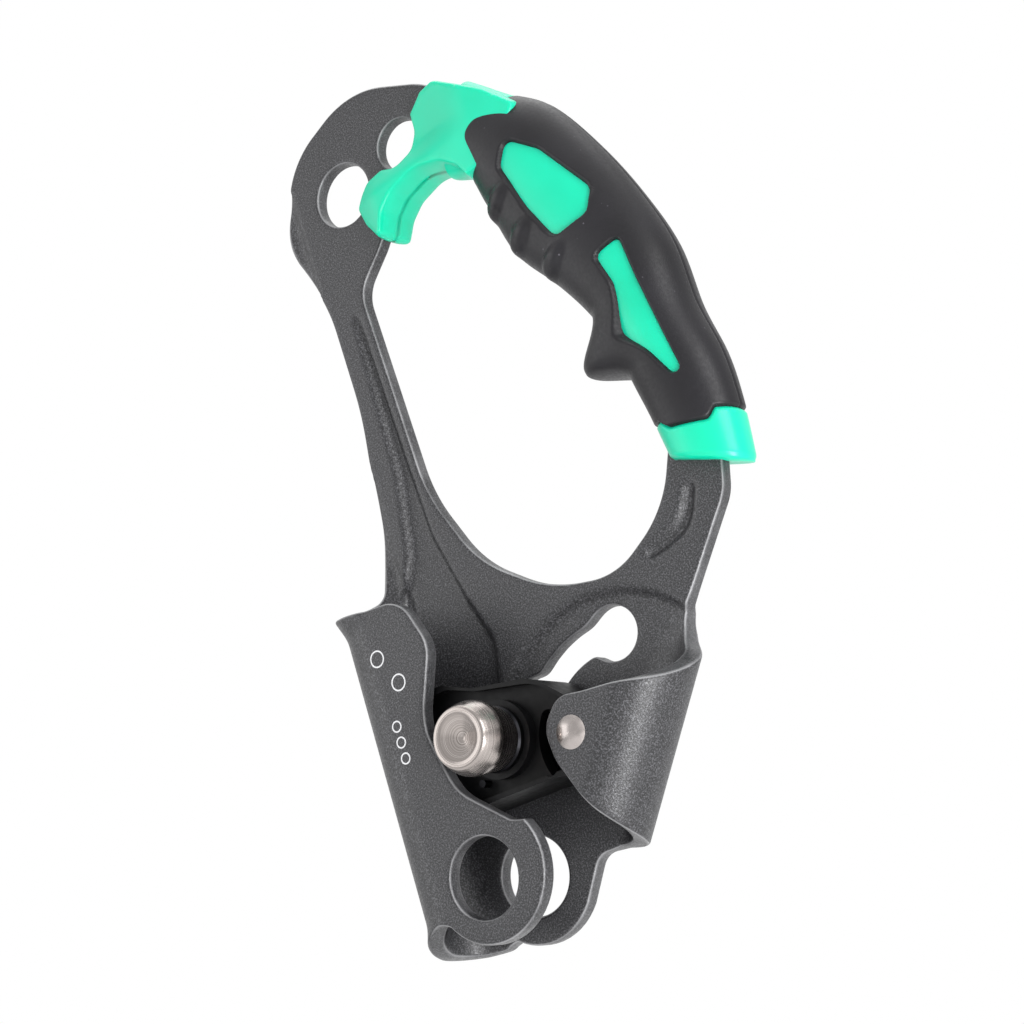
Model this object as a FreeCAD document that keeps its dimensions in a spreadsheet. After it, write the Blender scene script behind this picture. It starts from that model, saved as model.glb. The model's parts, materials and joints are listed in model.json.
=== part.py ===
import FreeCAD, Part
import Sketcher
import math
import os
from FreeCAD import Placement, Rotation, Vector

# Hand ascender. Front view: X right, Z up along the rope channel, Y away from the viewer.
# The origin is on the axis of the lower eye, on the front face of the main plate.

DIMENSIONS = {
    # pressed plate
    "plate_thickness": 3.7,
    "channel_gap": 14.3,          # clear width between plate and flap
    "channel_axis_x": -11.2,      # axis of the rope channel's round fold
    "channel_bottom_z": -7.0,
    "channel_top_z": 63.0,
    "lip_height": 4.0,            # flared ends of the channel
    "lip_flare": 2.2,
    "eye_radius": 8.3,
    "eye_lobe_radius": 14.2,
    "head_hole_x": 2.5,
    "head_hole_z": 162.5,
    "head_hole_radius": 7.4,
    "small_hole_x": 20.8,
    "small_hole_z": 165.8,
    "small_hole_radius": 5.9,
    "limb_lean": 38.8,            # strap fold, degrees from upright
    "strap_fold_x": 23.2,         # lower end of the strap fold's axis
    "strap_fold_z": 3.2,
    "strap_fold_length": 36.4,
    "groove_depth": 1.2,
    # cam and its pivot
    "pivot_x": 29.7,
    "pivot_z": 19.6,
    "rivet_radius": 3.0,
    "rivet_dome_radius": 3.4,
    "rivet_dome_height": 1.1,
    "rivet_tail_radius": 5.0,
    "rivet_tail_height": 1.8,
    "rivet_clearance": 0.05,
    "spacer_wall": 0.9,
    "washer_thickness": 0.5,
    "washer_radius": 5.2,
    "tail_washer_thickness": 0.8,
    "tail_washer_radius": 6.4,
    "cam_side_gap": 0.25,
    "cam_hub_radius": 7.8,
    "cam_web": 3.4,
    "cam_rim": 1.6,
    "cam_recess": 2.4,
    "weight_slot_arm": 10.5,
    "weight_slot_width": 3.6,
    "torsion_wire": 1.0,
    "torsion_turns": 5,
    "torsion_pocket_depth": 7.0,
    "torsion_pocket_wall": 2.7,     # spacer to pocket wall
    "cam_face_angle_low": 187.0,
    "cam_face_angle_high": 150.0,
    "cam_face_radius_low": 40.5,
    "cam_face_radius_high": 46.5,
    "tooth_height": 1.1,
    "tooth_rows": 8,
    # knob and plunger
    "knob_arm": 21.0,             # pivot to knob
    "knob_angle": 162.5,          # closed cam, degrees from +X
    "open_angle": 73.8,           # slot's round end
    "slot_width": 6.4,
    "slot_end_radius": 5.9,
    "slot_wide_angle": 134.0,     # where the slot widens behind the closed cam
    "knob_front_y": -26.8,
    "knob_radius": 7.7,
    "knob_face_radius": 6.2,
    "knob_cone_radius": 4.75,
    "knob_cone_depth": 2.0,
    "knob_bore_depth": 7.0,       # front of the knob to the stem's tip
    "knob_foot_radius": 6.5,
    "stem_radius": 2.2,
    "shoulder_radius": 2.9,
    "shoulder_y": -2.4,           # front end of the stem's shoulder
    "stem_tail": 0.9,             # stem's reach behind the plate
    "bush_radius": 6.8,
    "bush_height": 1.6,
    "bush_body_length": 2.6,
    "bush_wall": 0.5,
    "spring_wire": 0.7,
    "knob_spring_radius": 3.55,
    "knob_spring_turns": 4,
    "peg_radius": 0.8,
    "peg_offset_x": -6.5,         # from the knob
    "peg_offset_z": -7.1,
    "peg_start": 4.0,             # from the cam's rear face
    # handle
    "core_thickness": 9.2,        # head collar, front to back
    "rubber_thickness": 1.8,
    "screw_radius": 1.5,
    "screw_head_radius": 2.8,
    "screw_head_height": 1.8,
    "screw_seat": 3.2,            # head's seat behind the plate
    "oval_points": 16,            # points on each section of the handle
    "fit_clearance": 0.1,
}

doc = FreeCAD.newDocument("ascender")
sheet = doc.addObject("Spreadsheet::Sheet", "sizes")


def fill_sheet():
    """Writes each driving size in its own row: name, value, alias."""
    for row, (name, value) in enumerate(DIMENSIONS.items(), start=1):
        sheet.set(f"A{row}", name)
        sheet.set(f"B{row}", str(value))
        sheet.setAlias(f"B{row}", name)
    doc.recompute()


def size(name):
    """Reads a driving size back from the sheet."""
    return float(sheet.get(name))


fill_sheet()

T = size("plate_thickness")
MID_Y = T / 2
FLAP_BACK_Y = -size("channel_gap")
FLAP_FRONT_Y = FLAP_BACK_Y - T
FOLD_Y = FLAP_BACK_Y / 2
FOLD_INNER = size("channel_gap") / 2
FOLD_OUTER = FOLD_INNER + T
PIVOT = (size("pivot_x"), size("pivot_z"))


def polar(angle, radius, centre=PIVOT):
    """Point at an angle from +X (degrees, towards +Z) about a centre in the front view."""
    turn = math.radians(angle)
    return (centre[0] + radius * math.cos(turn), centre[1] + radius * math.sin(turn))


KNOB = polar(size("knob_angle"), size("knob_arm"))


# ---------------------------------------------------------------- sketch helpers

def line(start, end):
    return Part.LineSegment(Vector(*start, 0), Vector(*end, 0))


def arc(start, middle, end):
    return Part.Arc(Vector(*start, 0), Vector(*middle, 0), Vector(*end, 0))


def circle(centre, radius):
    return Part.Circle(Vector(*centre, 0), Vector(0, 0, 1), radius)


def rounded_outline(corners):
    """Closed outline through corners (x, z, radius), each corner rounded by a tangent arc."""
    count = len(corners)
    points = [Vector(x, z, 0) for x, z, _ in corners]
    starts = []
    ends = []
    arcs = []
    for i, (_, _, radius) in enumerate(corners):
        here = points[i]
        back = (points[i - 1] - here).normalize()
        ahead = (points[(i + 1) % count] - here).normalize()
        half = math.acos(max(-1.0, min(1.0, back.dot(ahead)))) / 2
        if radius <= 0:
            starts.append(here)
            ends.append(here)
            arcs.append(None)
            continue
        reach = radius / math.tan(half)
        centre = here + (back + ahead).normalize() * (radius / math.sin(half))
        middle = centre + (here - centre).normalize() * radius
        starts.append(here + back * reach)
        ends.append(here + ahead * reach)
        arcs.append(middle)
    edges = []
    for i in range(count):
        if arcs[i] is not None:
            edges.append(Part.Arc(starts[i], arcs[i], ends[i]))
        following = starts[(i + 1) % count]
        if (following - ends[i]).Length > 1e-4:
            edges.append(Part.LineSegment(ends[i], following))
    return edges


def new_body(name, base=Vector(0, 0, 0)):
    body = doc.addObject("PartDesign::Body", name)
    body.Label = name
    body.Placement = Placement(base, Rotation())
    return body


def bind_place(body, x=None, z=None):
    """Ties a body's place in the front view to the sheet."""
    if x:
        body.setExpression("Placement.Base.x", x)
    if z:
        body.setExpression("Placement.Base.z", z)


def add_sketch(body, name, role, edges, offset=None, turn=None, base=None):
    """Sketch on one of the body's own planes; offset is an expression along its normal."""
    plane = next(item for item in body.Origin.OriginFeatures if item.Role == role)
    sketch = body.newObject("Sketcher::SketchObject", name)
    sketch.AttachmentSupport = [(plane, "")]
    sketch.MapMode = "FlatFace"
    if turn or base:
        sketch.AttachmentOffset = Placement(base or Vector(), turn or Rotation())
    if offset:
        sketch.setExpression("AttachmentOffset.Base.z", offset)
    for edge in edges:
        sketch.addGeometry(edge, False)
    return sketch


def hole_circle(sketch, x, z, radius):
    """Circle whose centre and radius follow expressions of the sheet."""
    at = sketch.addGeometry(circle((1, 1), 1), False)
    for kind, value in (("DistanceX", x), ("DistanceY", z)):
        number = sketch.addConstraint(Sketcher.Constraint(kind, -1, 1, at, 3, 1.0))
        sketch.setExpression(f"Constraints[{number}]", value)
    number = sketch.addConstraint(Sketcher.Constraint("Radius", at, 1.0))
    sketch.setExpression(f"Constraints[{number}]", radius)
    return at


def half_ring(inner, outer, side):
    """Half of a ring about the fold's axis; side is -1 (left) or +1 (right)."""
    return [
        arc((0, -outer), (side * outer, 0), (0, outer)),
        line((0, outer), (0, inner)),
        arc((0, inner), (side * inner, 0), (0, -inner)),
        line((0, -inner), (0, -outer)),
    ]


def arc_slot(first, last, radius, half_width, centre=PIVOT):
    """Slot that follows an arc about a centre, with round ends."""
    middle = (first + last) / 2
    outer = radius + half_width
    inner = radius - half_width
    cap = math.degrees(half_width / radius)
    return [
        arc(polar(first, outer, centre), polar(middle, outer, centre), polar(last, outer, centre)),
        arc(polar(last, outer, centre), polar(last + math.copysign(cap, last - first), radius, centre),
            polar(last, inner, centre)),
        arc(polar(last, inner, centre), polar(middle, inner, centre), polar(first, inner, centre)),
        arc(polar(first, inner, centre), polar(first - math.copysign(cap, last - first), radius, centre),
            polar(first, outer, centre)),
    ]


def pad(body, sketch, length, name):
    """Pad of a sketch along its normal; length is an expression."""
    feature = body.newObject("PartDesign::Pad", name)
    feature.Profile = sketch
    feature.setExpression("Length", length)
    doc.recompute()
    return feature


def pocket(body, sketch, length, name, inward=False):
    """Pocket against the sketch's normal (or along it), checked to remove material."""
    before = body.Shape.Volume
    feature = body.newObject("PartDesign::Pocket", name)
    feature.Profile = sketch
    feature.Reversed = inward
    feature.setExpression("Length", length)
    doc.recompute()
    if body.Shape.Volume > before - 1e-6:
        raise RuntimeError(f"{body.Label}: {name} cuts nothing")
    return feature


def turned(name, profile, x=None, z=None):
    """Turned piece about an axis along Y; profile is a closed list of (radius, y)."""
    body = new_body(name)
    bind_place(body, x, z)
    edges = [line(profile[i - 1], profile[i]) for i in range(len(profile))]
    sketch = add_sketch(body, f"{name}_profile", "XY_Plane", edges)
    feature = body.newObject("PartDesign::Revolution", f"{name}_turning")
    feature.Profile = sketch
    feature.ReferenceAxis = (sketch, ["V_Axis"])
    feature.Angle = 360
    doc.recompute()
    return body


PIVOT_X = "sizes.pivot_x"
PIVOT_Z = "sizes.pivot_z"
KNOB_X = "sizes.pivot_x + sizes.knob_arm * cos(sizes.knob_angle * 1deg)"
KNOB_Z = "sizes.pivot_z + sizes.knob_arm * sin(sizes.knob_angle * 1deg)"
SPACER_OUTER = "(sizes.rivet_radius + sizes.rivet_clearance + sizes.spacer_wall)"
BUSH_BODY = "(sizes.knob_spring_radius + sizes.spring_wire / 2 + sizes.bush_wall)"
PEG_X = KNOB_X + " + sizes.peg_offset_x"
PEG_Z = KNOB_Z + " + sizes.peg_offset_z"


# ---------------------------------------------------------------- frame

FOLD_X = size("channel_axis_x")
BOTTOM_Z = size("channel_bottom_z")
TOP_Z = size("channel_top_z")
LEAN = math.radians(size("limb_lean"))
ALONG = (math.sin(LEAN), math.cos(LEAN))
STRAP_LOW = (size("strap_fold_x"), size("strap_fold_z"))
STRAP_HIGH = tuple(STRAP_LOW[i] + ALONG[i] * size("strap_fold_length") for i in (0, 1))
LOBE = size("eye_lobe_radius")


def strap_axis_at(z):
    """Point of the strap fold's axis at height z."""
    return (STRAP_LOW[0] + (z - STRAP_LOW[1]) * math.tan(LEAN), z)


def plate_outline():
    """Outer edge of the main plate, from the lower eye round the limbs and the head."""
    lobe_left = -math.sqrt(LOBE ** 2 - FOLD_X ** 2)
    return rounded_outline([
        (FOLD_X, lobe_left + 0.1, 0), (11.6, -8.0, 0), (16.4, -1.8, 4), (*STRAP_LOW, 0),
        (*STRAP_HIGH, 0), (STRAP_HIGH[0] + 4.6, STRAP_HIGH[1] - 3.7, 1),
        (51.8, 36.5, 14), (69.5, 56, 10), (73.6, 70, 20), (73.5, 104, 30), (66, 134, 30),
        (52, 156, 25), (31, 176, 20), (12, 185.5, 22), (-8.5, 177.5, 20), (-17.2, 160, 16),
        (-10.3, 139, 40), (-9.8, 112, 80), (-14, 84, 60), (-18.7, 67, 2), (FOLD_X, TOP_Z, 0),
    ])


def window_outline():
    """Hand window inside the head and limbs."""
    return rounded_outline([
        (1.3, 87, 40), (9, 67.5, 30), (24, 54.5, 38), (40, 50.5, 16), (55, 58.5, 24),
        (62.5, 74, 25), (62, 98, 40), (53, 122, 60), (40.5, 148, 8), (27, 158, 10),
        (17.5, 156, 8), (8, 145.5, 10), (-0.3, 138.5, 8),
    ])


def flap_outline():
    """Front flap of the rope channel, down to the lower eye's lobe."""
    return rounded_outline([
        (FOLD_X, TOP_Z, 0), (-1.2, 61.5, 8), (2.9, 49.5, 8), (-4.2, 34, 14),
        (-0.5, 18.5, 12), (9.5, 9, 0), (9.5, -8.6, 0), (FOLD_X, -5.5, 0),
    ])


def channel_dish_outline():
    """Pressed dish beside the channel, narrowing into the left limb's groove."""
    return rounded_outline([
        (-9, 28, 3), (-9, 66, 8), (-4.6, 90, 30), (-3.9, 128, 0.7), (-2.1, 128, 0.7),
        (-1.4, 90, 30), (4.2, 68, 12), (8.6, 50, 14), (2, 28, 8),
    ])


def limb_groove_outline():
    """Pressed groove in the right limb."""
    return rounded_outline([(63.2, 60, 1.2), (60.6, 60.6, 1.2), (57.5, 53.2, 9), (48.5, 50, 1.2),
                            (49.5, 47.6, 1.2), (60, 51, 9)])


def make_plate():
    """Main plate: outline, hand window, rear lobe of the lower eye, holes, slot and pressed grooves."""
    body = new_body("frame_plate")
    blank = add_sketch(body, "plate_blank", "XZ_Plane", plate_outline() + window_outline(),
                       offset="-sizes.plate_thickness")
    pad(body, blank, "sizes.plate_thickness", "plate")
    lobe = add_sketch(body, "lobe_rear_disc", "XZ_Plane", [], offset="-sizes.plate_thickness")
    hole_circle(lobe, "0", "0", "sizes.eye_lobe_radius")
    pad(body, lobe, "sizes.plate_thickness", "lobe_rear")
    top = TOP_Z + size("lip_height")
    far = FOLD_X - 2 * FOLD_OUTER
    room = rounded_outline([(far, -2 * LOBE, 0), (FOLD_X, -2 * LOBE, 0), (FOLD_X, top, 0), (far, top, 0)])
    side = add_sketch(body, "channel_side_outline", "XZ_Plane", room, offset="-sizes.plate_thickness")
    pocket(body, side, "2 * sizes.plate_thickness", "channel_side", inward=True)
    make_plate_openings(body)
    return body


def make_channel():
    """Rope channel: round fold along Z with flared ends, and the front flap with the eye's lobe."""
    body = new_body("rope_channel")
    place = Vector(FOLD_X, FOLD_Y, BOTTOM_Z)
    ring = add_sketch(body, "channel_section", "XY_Plane", half_ring(FOLD_INNER, FOLD_OUTER, -1),
                      base=place)
    pad(body, ring, "sizes.channel_top_z - sizes.channel_bottom_z", "channel_fold")
    flare = size("lip_flare")
    for name, start, end in (("top_lip", TOP_Z, TOP_Z + size("lip_height")),
                             ("bottom_lip", BOTTOM_Z, BOTTOM_Z - size("lip_height"))):
        near = add_sketch(body, f"{name}_root", "XY_Plane", half_ring(FOLD_INNER, FOLD_OUTER, -1),
                          base=Vector(FOLD_X, FOLD_Y, start))
        far = add_sketch(body, f"{name}_rim", "XY_Plane",
                         half_ring(FOLD_INNER + flare, FOLD_OUTER + flare, -1),
                         base=Vector(FOLD_X, FOLD_Y, end))
        loft = body.newObject("PartDesign::AdditiveLoft", name)
        loft.Profile = near
        loft.Sections = [far]
        loft.Ruled = True
        doc.recompute()
    flap = add_sketch(body, "flap_blank", "XZ_Plane", flap_outline(), offset="sizes.channel_gap")
    pad(body, flap, "sizes.plate_thickness", "flap")
    lobe = add_sketch(body, "lobe_front_disc", "XZ_Plane", [], offset="sizes.channel_gap")
    hole_circle(lobe, "0", "0", "sizes.eye_lobe_radius")
    pad(body, lobe, "sizes.plate_thickness", "lobe_front")
    drill(body, "front_eye", [("0", "0", "sizes.eye_radius")])


def make_strap():
    """Leaning round fold at the right and the strap that carries the rivet."""
    body = new_body("cam_strap")
    lean = Rotation(Vector(0, 1, 0), size("limb_lean"))
    section = add_sketch(body, "strap_section", "XY_Plane", half_ring(FOLD_INNER, FOLD_OUTER, 1),
                         turn=lean, base=Vector(STRAP_LOW[0], FOLD_Y, STRAP_LOW[1]))
    pad(body, section, "sizes.strap_fold_length", "strap_fold")
    x, z = PIVOT
    trims = [
        [(x - 14, z - 28, 0), (x - 5.4, z - 8.6, 0), (x - 2.6, z - 12, 0), (x + 4, z - 28, 0)],
        [(x - 1, z + 7, 0), (x + 27, z + 5, 0), (x + 27, z + 17, 0), (x - 1, z + 17, 0)],
    ]
    for i, corners in enumerate(trims):
        cut = add_sketch(body, f"strap_trim_{i}", "XZ_Plane", rounded_outline(corners),
                         offset="sizes.channel_gap / 2")
        pocket(body, cut, "2 * sizes.channel_gap", f"strap_end_{i}", inward=True)
    strap = add_sketch(body, "strap_blank", "XZ_Plane", rounded_outline([
        (x - 5.7, z + 7.4, 6), (x - 5.5, z - 6.6, 6), (*strap_axis_at(z - 11.5), 0),
        (*strap_axis_at(z + 6.6), 0)]), offset="sizes.channel_gap")
    pad(body, strap, "sizes.plate_thickness", "strap")
    drill(body, "strap_rivet_hole", [(PIVOT_X, PIVOT_Z, "sizes.rivet_radius + sizes.rivet_clearance")])


def drill(body, name, circles, extra=()):
    """Round holes through a body along Y; circles are (x, z, radius) expressions."""
    sketch = add_sketch(body, f"{name}_circles", "XZ_Plane", list(extra), offset="-sizes.plate_thickness")
    for x, z, radius in circles:
        hole_circle(sketch, x, z, radius)
    pocket(body, sketch, "3 * sizes.channel_gap", name, inward=True)


def make_plate_openings(body):
    """Eye, head holes, rivet hole, keyhole slot, grooves and the handle screws' holes."""
    back = "-sizes.plate_thickness"
    screws = [circle(spot, size("screw_radius") + size("fit_clearance")) for spot in SCREWS]
    drill(body, "round_holes", [
        ("0", "0", "sizes.eye_radius"),
        (PIVOT_X, PIVOT_Z, "sizes.rivet_radius + sizes.rivet_clearance"),
        ("sizes.head_hole_x", "sizes.head_hole_z", "sizes.head_hole_radius"),
        ("sizes.small_hole_x", "sizes.small_hole_z", "sizes.small_hole_radius"),
    ], screws)
    arm = size("knob_arm")
    wide = size("slot_end_radius")
    stretches = [
        ("slot_wide", size("knob_angle") + 1.5, size("slot_wide_angle"), wide),
        ("slot_narrow", size("slot_wide_angle"), size("open_angle"), size("slot_width") / 2),
        ("slot_round_end", size("open_angle") + 6, size("open_angle"), wide),
    ]
    for name, first, last, half_width in stretches:
        sketch = add_sketch(body, f"{name}_outline", "XZ_Plane", arc_slot(first, last, arm, half_width),
                            offset=back)
        pocket(body, sketch, "sizes.plate_thickness + 0.1", name, inward=True)
    for name, outline in (("channel_dish", channel_dish_outline()), ("limb_groove", limb_groove_outline())):
        sketch = add_sketch(body, f"{name}_outline", "XZ_Plane", outline)
        pocket(body, sketch, "sizes.groove_depth", name)


# ---------------------------------------------------------------- cam

CAM_BACK_Y = -(size("washer_thickness") + size("cam_side_gap"))
CAM_FRONT_Y = FLAP_BACK_Y - CAM_BACK_Y
CAM_BACK = "sizes.washer_thickness + sizes.cam_side_gap"
CAM_FRONT = "sizes.channel_gap - sizes.washer_thickness - sizes.cam_side_gap"
CAM_DEPTH = "sizes.channel_gap - 2 * (sizes.washer_thickness + sizes.cam_side_gap)"


def cam_face_radius(angle):
    """Radius of the rope face: a spiral that grows towards the nose's upper end."""
    low = size("cam_face_angle_low")
    high = size("cam_face_angle_high")
    share = (low - angle) / (low - high)
    return size("cam_face_radius_low") + share * (size("cam_face_radius_high") - size("cam_face_radius_low"))


def cam_outline(inset=0.0, teeth=True):
    """Cam seen from the front: hub, upper and lower edges and the toothed face."""
    low = size("cam_face_angle_low")
    high = size("cam_face_angle_high")
    hub = size("cam_hub_radius") - inset
    top = polar(95, hub)
    bottom = polar(262, hub)
    rows = int(size("tooth_rows"))
    corners = [(*bottom, 0), (*polar(213, hub + 3.0), 6)]
    corners.append((*polar(low - inset, cam_face_radius(low) - inset - 2.5), 2 if not teeth else 0))
    if teeth:
        step = (low - high) / rows
        for i in range(rows):
            root = low - i * step
            tip = root - 0.72 * step
            corners.append((*polar(root, cam_face_radius(root) - size("tooth_height")), 0))
            corners.append((*polar(tip, cam_face_radius(tip)), 0))
    corners.append((*polar(high + inset, cam_face_radius(high) - inset - 0.6), 1.5 if not teeth else 0))
    corners.append((*polar(high - 6.5 + inset / 2, 37 - inset), 5))
    corners.append((*polar(141, 29.5 - inset), 12))
    corners.append((*polar(118, 17.2 - inset), 12))
    edges = rounded_outline(corners + [(*top, 0)])
    edges = edges[:-1]
    edges.append(arc(top, polar(0, hub), bottom))
    return edges


def make_cam():
    body = new_body("cam")
    blank = add_sketch(body, "cam_blank", "XZ_Plane", cam_outline(), offset=CAM_BACK)
    pad(body, blank, CAM_DEPTH, "cam_block")
    recess = add_sketch(body, "cam_recess", "XZ_Plane", cam_outline(size("cam_rim"), False), offset=CAM_FRONT)
    pocket(body, recess, "sizes.cam_recess", "front_recess")
    rear = add_sketch(body, "cam_rear_recess", "XZ_Plane", cam_outline(size("cam_rim"), False), offset=CAM_BACK)
    pocket(body, rear, f"{CAM_DEPTH} - sizes.cam_recess - sizes.cam_web", "rear_recess", inward=True)
    for name, x, z, radius in (("hub", PIVOT_X, PIVOT_Z, "sizes.cam_hub_radius"),
                               ("knob_boss", KNOB_X, KNOB_Z, "sizes.bush_radius + 1.3")):
        disc = add_sketch(body, f"{name}_disc", "XZ_Plane", [], offset=CAM_BACK)
        hole_circle(disc, x, z, radius)
        pad(body, disc, CAM_DEPTH, name)
    bores = [
        ("pivot_bore", PIVOT_X, PIVOT_Z, SPACER_OUTER + " + sizes.rivet_clearance", CAM_DEPTH + " + 1"),
        ("spring_pocket", PIVOT_X, PIVOT_Z, SPACER_OUTER + " + sizes.torsion_pocket_wall", "sizes.torsion_pocket_depth"),
        ("plunger_bore", KNOB_X, KNOB_Z, BUSH_BODY, CAM_DEPTH + " + 1"),
    ]
    for name, x, z, radius, depth in bores:
        sketch = add_sketch(body, f"{name}_circle", "XZ_Plane", [], offset=CAM_BACK)
        hole_circle(sketch, x, z, radius)
        pocket(body, sketch, depth, name, inward=True)
    weight_slot = arc_slot(142, 200, size("weight_slot_arm"), size("weight_slot_width") / 2)
    light = add_sketch(body, "weight_slot_outline", "XZ_Plane", weight_slot, offset=CAM_BACK)
    pocket(body, light, CAM_DEPTH + " + 1", "weight_slot", inward=True)
    peg = add_sketch(body, "peg_hole_circle", "XZ_Plane", [], offset=CAM_FRONT)
    hole_circle(peg, PEG_X, PEG_Z, "sizes.peg_radius")
    pocket(body, peg, "sizes.cam_recess + sizes.cam_web", "peg_hole")
    return body


# ---------------------------------------------------------------- turned pieces

def make_ring(name, inner, outer, near_y, far_y, x, z):
    """Plain ring about an axis along Y."""
    turned(name, [(inner, near_y), (outer, near_y), (outer, far_y), (inner, far_y)], x, z)


def cap_middle(base, height):
    """Middle point (radius, rise) of a round cap's arc, so that its crown is flat on the axis."""
    ball = (base ** 2 + height ** 2) / (2 * height)
    half = math.asin(min(1.0, base / ball)) / 2
    return (ball * math.sin(half), height - ball * (1 - math.cos(half)))


def make_pivot():
    """Domed rivet, its spacer and washers."""
    r = size("rivet_radius")
    fit = size("rivet_clearance")
    dome = size("rivet_dome_radius")
    height = size("rivet_dome_height")
    front = FLAP_FRONT_Y
    tail_front = T + size("tail_washer_thickness")
    tail_back = tail_front + size("rivet_tail_height")
    tail = size("rivet_tail_radius")
    tail_middle = cap_middle(tail, size("rivet_tail_height"))
    rivet = new_body("pivot_rivet")
    bind_place(rivet, PIVOT_X, PIVOT_Z)
    edges = [
        arc((0, front - height), (cap_middle(dome, height)[0], front - cap_middle(dome, height)[1]),
            (dome, front)),
        line((dome, front), (r, front)),
        line((r, front), (r, tail_front)),
        line((r, tail_front), (tail, tail_front)),
        arc((tail, tail_front), (tail_middle[0], tail_front + tail_middle[1]), (0, tail_back)),
        line((0, tail_back), (0, front - height)),
    ]
    sketch = add_sketch(rivet, "rivet_profile", "XY_Plane", edges)
    turning = rivet.newObject("PartDesign::Revolution", "rivet_turning")
    turning.Profile = sketch
    turning.ReferenceAxis = (sketch, ["V_Axis"])
    turning.Angle = 360
    inner = r + fit
    spacer = inner + size("spacer_wall")
    washer = size("washer_thickness")
    make_ring("pivot_spacer", inner, spacer, FLAP_BACK_Y, 0, PIVOT_X, PIVOT_Z)
    wide = size("washer_radius")
    make_ring("front_thrust_washer", spacer + fit, wide, FLAP_BACK_Y, FLAP_BACK_Y + washer, PIVOT_X, PIVOT_Z)
    make_ring("rear_thrust_washer", spacer + fit, wide, -washer, 0, PIVOT_X, PIVOT_Z)
    make_ring("rivet_tail_washer", inner, size("tail_washer_radius"), T, tail_front, PIVOT_X, PIVOT_Z)


def make_knob():
    """Turned pull knob, its guide bush, the plunger and the plunger spring's seat."""
    front = size("knob_front_y")
    radius = size("knob_radius")
    bush_front = CAM_FRONT_Y - size("bush_height")
    foot = bush_front - 0.1
    stem = size("stem_radius")
    grip = front + size("knob_bore_depth")
    turned("knob", [
        (0, front + size("knob_cone_depth")), (size("knob_cone_radius"), front),
        (size("knob_face_radius"), front), (radius - 0.35, front + 1.2), (radius, front + 2.1),
        (radius, front + 4.6), (size("knob_foot_radius"), foot), (stem, foot), (stem, grip), (0, grip),
    ], KNOB_X, KNOB_Z)
    body_radius = size("knob_spring_radius") + size("spring_wire") / 2 + size("bush_wall")
    bush_back = CAM_FRONT_Y + size("bush_body_length")
    bore = stem + size("fit_clearance")
    turned("knob_guide_bush", [
        (bore, bush_front), (size("bush_radius") - 0.4, bush_front), (size("bush_radius"), bush_front + 0.4),
        (size("bush_radius"), CAM_FRONT_Y), (body_radius, CAM_FRONT_Y), (body_radius, bush_back),
        (bore, bush_back),
    ], KNOB_X, KNOB_Z)
    shoulder = size("shoulder_radius")
    seat_y = size("shoulder_y")
    tail = T + size("stem_tail")
    turned("knob_stem", [
        (0, grip), (stem, grip), (stem, seat_y), (shoulder, seat_y), (shoulder, tail - 0.5),
        (shoulder - 0.5, tail), (0, tail),
    ], KNOB_X, KNOB_Z)
    make_ring("spring_seat_washer", stem + size("fit_clearance") / 2, body_radius - size("fit_clearance") * 2,
              seat_y - size("washer_thickness"), seat_y, KNOB_X, KNOB_Z)


def make_peg():
    body = new_body("cam_leg_pin")
    disc = add_sketch(body, "peg_circle", "XZ_Plane", [], offset=CAM_BACK + " + sizes.peg_start")
    hole_circle(disc, PEG_X, PEG_Z, "sizes.peg_radius")
    pad(body, disc, CAM_DEPTH + " - sizes.peg_start", "peg")
    return body


def make_coil(name, centre, radius, wire, start_y, end_y, turns):
    """Round-wire coil about an axis along Y, in a plain feature: a swept helix."""
    height = end_y - start_y - wire
    helix = Part.makeHelix(height / turns, height, radius)
    section = Part.Wire([Part.makeCircle(wire / 2, Vector(radius, 0, 0), Vector(0, 1, 0))])
    coil = Part.Wire(helix.Edges).makePipeShell([section], True, True)
    feature = doc.addObject("Part::Feature", name)
    feature.Label = name
    feature.Shape = coil
    feature.Placement = Placement(Vector(centre[0], start_y + wire / 2, centre[1]),
                                  Rotation(Vector(1, 0, 0), -90))
    return feature


def make_springs():
    spacer = size("rivet_radius") + size("rivet_clearance") + size("spacer_wall")
    coil_radius = spacer + size("torsion_pocket_wall") / 2
    clear = size("cam_side_gap")
    make_coil("cam_torsion_spring", PIVOT, coil_radius, size("torsion_wire"),
              CAM_BACK_Y - size("torsion_pocket_depth") + clear, CAM_BACK_Y - clear,
              int(size("torsion_turns")))
    make_coil("knob_spring", KNOB, size("knob_spring_radius"), size("spring_wire"),
              CAM_FRONT_Y + size("bush_body_length"),
              size("shoulder_y") - size("washer_thickness"), int(size("knob_spring_turns")))


# ---------------------------------------------------------------- handle

# Stations along the handle: centre x, z, heading of the width, half width, half depth.
STATIONS = [
    (34.0, 160.5, 66.0, 11.5, 5.6),
    (44.5, 153.0, 34.0, 11.0, 8.0),
    (50.5, 144.5, 38.0, 13.0, 9.2),
    (56.3, 130.0, 33.0, 13.9, 9.8),
    (62.3, 116.5, 33.0, 12.9, 9.8),
    (65.6, 104.0, 16.0, 12.0, 9.5),
    (64.4, 95.2, 2.0, 13.9, 9.0),
    (67.4, 87.0, 0.0, 11.4, 8.4),
    (69.0, 77.5, -8.0, 10.0, 7.4),
    (69.7, 58.5, -12.0, 9.4, 6.5),
]
FOOT_END = (68.6, 62.8, -26.0)
GRIP_FIRST = 1
GRIP_LAST = 8
SCREWS = [(50.5, 149.5), (65.5, 110.0), (68.0, 84.0)]


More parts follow.
